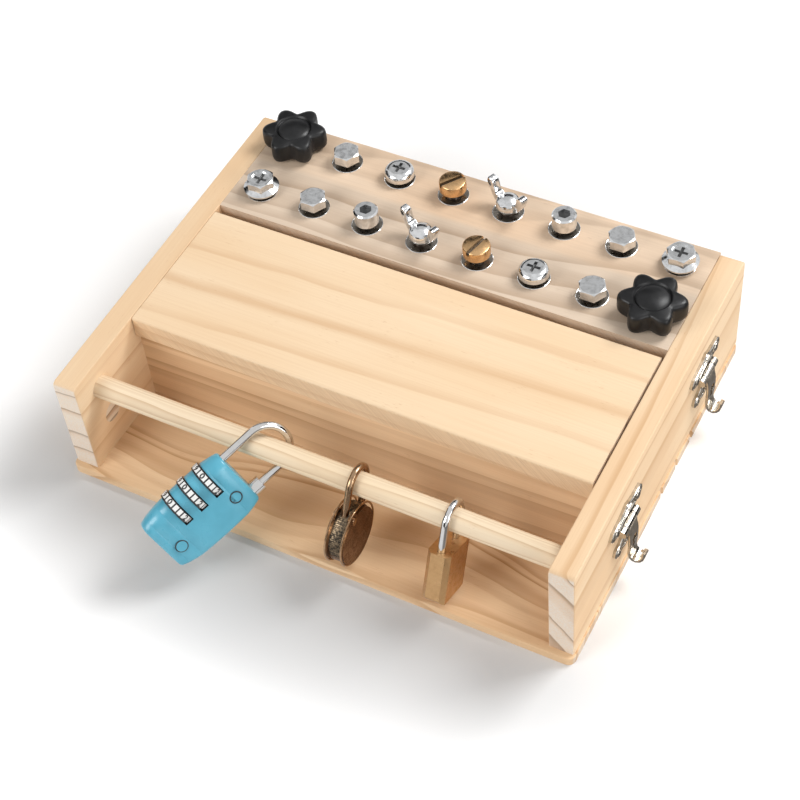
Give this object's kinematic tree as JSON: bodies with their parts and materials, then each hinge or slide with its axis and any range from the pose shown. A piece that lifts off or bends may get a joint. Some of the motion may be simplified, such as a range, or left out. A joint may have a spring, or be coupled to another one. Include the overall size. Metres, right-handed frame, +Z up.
{
  "type": "wooden busy board",
  "caption": "Low pine box with a hinged lid, a rear board of loose screws, knobs and bolts, a front rod with padlocks and side latches.",
  "frame": {"origin": "middle of the underside of the box, on the surface it stands on", "axes": "+X to the right along the box's length, +Y to the rear, +Z up"},
  "size_m": [0.294, 0.2567, 0.0849],
  "materials": {
    "pine_base": "sanded pine",
    "pine_side": "sanded pine",
    "pine_partition": "sanded pine",
    "pine_deck": "sanded pine",
    "pine_lid": "sanded pine",
    "dowel": "sanded hardwood",
    "zinc": "zinc plated",
    "bolt_steel": "bright plated",
    "bolt_brass": "turned brass",
    "black_plastic": "satin black",
    "nickel": "bright nickel",
    "blue_paint": "satin paint",
    "lock_steel": "bright plated",
    "dial": "black with pale numbers",
    "antique_bronze": "antique bronze",
    "bronze_wire": "antique bronze",
    "lock_brass": "satin brass"
  },
  "bodies": {
    "box": {"base_board": "pine_base", "left_side_panel": "pine_side", "right_side_panel": "pine_side", "rear_panel": "pine_side", "partition": "pine_partition", "screw_board": "pine_deck", "padlock_rod": "dowel", "wall_plug": "dowel", "threaded_inserts": "zinc", "lid_pivot_pins": "zinc", "latch_screws": "nickel", "latch_front_leaf": "nickel", "latch_front_pin": "nickel", "latch_front_catch": "nickel", "latch_rear_leaf": "nickel", "latch_rear_pin": "nickel", "latch_rear_catch": "nickel"},
    "lid": {"lid": "pine_lid"},
    "star_knob_rear": {"star_knob_rear": "black_plastic", "star_knob_rear_stud": "zinc"},
    "hex_bolt_rear_left": {"hex_bolt_rear_left": "bolt_steel"},
    "pan_screw_rear": {"pan_screw_rear": "bolt_steel"},
    "slotted_screw_rear": {"slotted_screw_rear": "bolt_brass"},
    "wing_screw_rear": {"wing_screw_rear": "bolt_steel"},
    "socket_screw_rear": {"socket_screw_rear": "bolt_steel"},
    "hex_bolt_rear_right": {"hex_bolt_rear_right": "bolt_steel"},
    "flange_screw_rear": {"flange_screw_rear": "bolt_steel"},
    "flange_screw_front": {"flange_screw_front": "bolt_steel"},
    "hex_bolt_front_left": {"hex_bolt_front_left": "bolt_steel"},
    "socket_screw_front": {"socket_screw_front": "bolt_steel"},
    "wing_screw_front": {"wing_screw_front": "bolt_steel"},
    "slotted_screw_front": {"slotted_screw_front": "bolt_brass"},
    "pan_screw_front": {"pan_screw_front": "bolt_steel"},
    "hex_bolt_front_right": {"hex_bolt_front_right": "bolt_steel"},
    "star_knob_front": {"star_knob_front": "black_plastic", "star_knob_front_stud": "zinc"},
    "latch_front_arm": {"latch_front_arm": "nickel"},
    "latch_rear_arm": {"latch_rear_arm": "nickel"},
    "combo_lock": {"combo_lock_case": "blue_paint", "combo_lock_collar": "lock_steel", "combo_lock_spindle": "lock_steel", "combo_lock_rivets": "blue_paint"},
    "combo_shackle": {"combo_lock_shackle": "lock_steel"},
    "combo_dial_1": {"combo_lock_dial_1": "dial"},
    "combo_dial_2": {"combo_lock_dial_2": "dial"},
    "combo_dial_3": {"combo_lock_dial_3": "dial"},
    "round_lock_shackle": {"round_lock_shackle": "bronze_wire"},
    "round_lock": {"round_lock_case": "antique_bronze", "round_lock_left_plate": "antique_bronze", "round_lock_right_plate": "antique_bronze", "round_lock_rivet": "bronze_wire"},
    "brass_lock": {"brass_lock_case": "lock_brass", "brass_lock_pin": "lock_brass"},
    "brass_shackle": {"brass_lock_shackle": "lock_steel"},
    "brass_key_plug": {"brass_lock_key_plug": "lock_brass"}
  },
  "joints": [
    {"name": "lid_hinge", "type": "hinge", "parent": "box", "child": "lid", "pos_m": [0, 0.0236, 0.0607], "axis": [-1, 0, 0], "range_deg": [0, 95]},
    {"name": "star_knob_rear_turn", "type": "hinge", "parent": "box", "child": "star_knob_rear", "pos_m": [-0.1113, 0.0904, 0.067], "axis": [0, 0, 1], "continuous": true},
    {"name": "hex_bolt_rear_left_turn", "type": "hinge", "parent": "box", "child": "hex_bolt_rear_left", "pos_m": [-0.0795, 0.0904, 0.067], "axis": [0, 0, 1], "continuous": true},
    {"name": "pan_screw_rear_turn", "type": "hinge", "parent": "box", "child": "pan_screw_rear", "pos_m": [-0.0477, 0.0904, 0.067], "axis": [0, 0, 1], "continuous": true},
    {"name": "slotted_screw_rear_turn", "type": "hinge", "parent": "box", "child": "slotted_screw_rear", "pos_m": [-0.0159, 0.0904, 0.067], "axis": [0, 0, 1], "continuous": true},
    {"name": "wing_screw_rear_turn", "type": "hinge", "parent": "box", "child": "wing_screw_rear", "pos_m": [0.0159, 0.0904, 0.067], "axis": [0, 0, 1], "continuous": true},
    {"name": "socket_screw_rear_turn", "type": "hinge", "parent": "box", "child": "socket_screw_rear", "pos_m": [0.0477, 0.0904, 0.067], "axis": [0, 0, 1], "continuous": true},
    {"name": "hex_bolt_rear_right_turn", "type": "hinge", "parent": "box", "child": "hex_bolt_rear_right", "pos_m": [0.0795, 0.0904, 0.067], "axis": [0, 0, 1], "continuous": true},
    {"name": "flange_screw_rear_turn", "type": "hinge", "parent": "box", "child": "flange_screw_rear", "pos_m": [0.1113, 0.0904, 0.067], "axis": [0, 0, 1], "continuous": true},
    {"name": "flange_screw_front_turn", "type": "hinge", "parent": "box", "child": "flange_screw_front", "pos_m": [-0.1113, 0.053, 0.067], "axis": [0, 0, 1], "continuous": true},
    {"name": "hex_bolt_front_left_turn", "type": "hinge", "parent": "box", "child": "hex_bolt_front_left", "pos_m": [-0.0795, 0.053, 0.067], "axis": [0, 0, 1], "continuous": true},
    {"name": "socket_screw_front_turn", "type": "hinge", "parent": "box", "child": "socket_screw_front", "pos_m": [-0.0477, 0.053, 0.067], "axis": [0, 0, 1], "continuous": true},
    {"name": "wing_screw_front_turn", "type": "hinge", "parent": "box", "child": "wing_screw_front", "pos_m": [-0.0159, 0.053, 0.067], "axis": [0, 0, 1], "continuous": true},
    {"name": "slotted_screw_front_turn", "type": "hinge", "parent": "box", "child": "slotted_screw_front", "pos_m": [0.0159, 0.053, 0.067], "axis": [0, 0, 1], "continuous": true},
    {"name": "pan_screw_front_turn", "type": "hinge", "parent": "box", "child": "pan_screw_front", "pos_m": [0.0477, 0.053, 0.067], "axis": [0, 0, 1], "continuous": true},
    {"name": "hex_bolt_front_right_turn", "type": "hinge", "parent": "box", "child": "hex_bolt_front_right", "pos_m": [0.0795, 0.053, 0.067], "axis": [0, 0, 1], "continuous": true},
    {"name": "star_knob_front_turn", "type": "hinge", "parent": "box", "child": "star_knob_front", "pos_m": [0.1113, 0.053, 0.067], "axis": [0, 0, 1], "continuous": true},
    {"name": "latch_front_swing", "type": "hinge", "parent": "box", "child": "latch_front_arm", "pos_m": [0.14265, -0.049, 0.041], "axis": [0, -1, 0], "range_deg": [0, 110]},
    {"name": "latch_rear_swing", "type": "hinge", "parent": "box", "child": "latch_rear_arm", "pos_m": [0.14265, 0.051, 0.041], "axis": [0, -1, 0], "range_deg": [0, 110]},
    {"name": "combo_lock_swing", "type": "hinge", "parent": "box", "child": "combo_lock", "pos_m": [-0.0303, -0.0876, 0.0508], "axis": [-1, 0, 0], "range_deg": [-5, 90]},
    {"name": "combo_shackle_slide", "type": "slide", "parent": "combo_lock", "child": "combo_shackle", "axis": [0.443, 0.818, 0.367], "range_m": [0, 0.009]},
    {"name": "combo_dial_1_turn", "type": "hinge", "parent": "combo_lock", "child": "combo_dial_1", "pos_m": [-0.0489, -0.11352, 0.04709], "axis": [0.443, 0.818, 0.367], "continuous": true},
    {"name": "combo_dial_2_turn", "type": "hinge", "parent": "combo_lock", "child": "combo_dial_2", "pos_m": [-0.05325, -0.12153, 0.0435], "axis": [0.443, 0.818, 0.367], "continuous": true},
    {"name": "combo_dial_3_turn", "type": "hinge", "parent": "combo_lock", "child": "combo_dial_3", "pos_m": [-0.05759, -0.12955, 0.0399], "axis": [0.443, 0.818, 0.367], "continuous": true},
    {"name": "round_lock_swing", "type": "hinge", "parent": "box", "child": "round_lock_shackle", "pos_m": [0.02, -0.0876, 0.0508], "axis": [-1, 0, 0], "range_deg": [-60, 100]},
    {"name": "round_lock_open", "type": "hinge", "parent": "round_lock_shackle", "child": "round_lock", "pos_m": [0.02, -0.10234, 0.04097], "axis": [-1, 0, 0], "range_deg": [0, 60]},
    {"name": "brass_lock_swing", "type": "hinge", "parent": "box", "child": "brass_lock", "pos_m": [0.0705, -0.0876, 0.0508], "axis": [-1, 0, 0], "range_deg": [-55, 100]},
    {"name": "brass_shackle_slide", "type": "slide", "parent": "brass_lock", "child": "brass_shackle", "axis": [0, 0.3746, 0.9272], "range_m": [0, 0.008]},
    {"name": "brass_key_turn", "type": "hinge", "parent": "brass_lock", "child": "brass_key_plug", "pos_m": [0.0705, -0.10326, 0.01204], "axis": [0, 0.3746, 0.9272], "range_deg": [0, 90]}
  ]
}
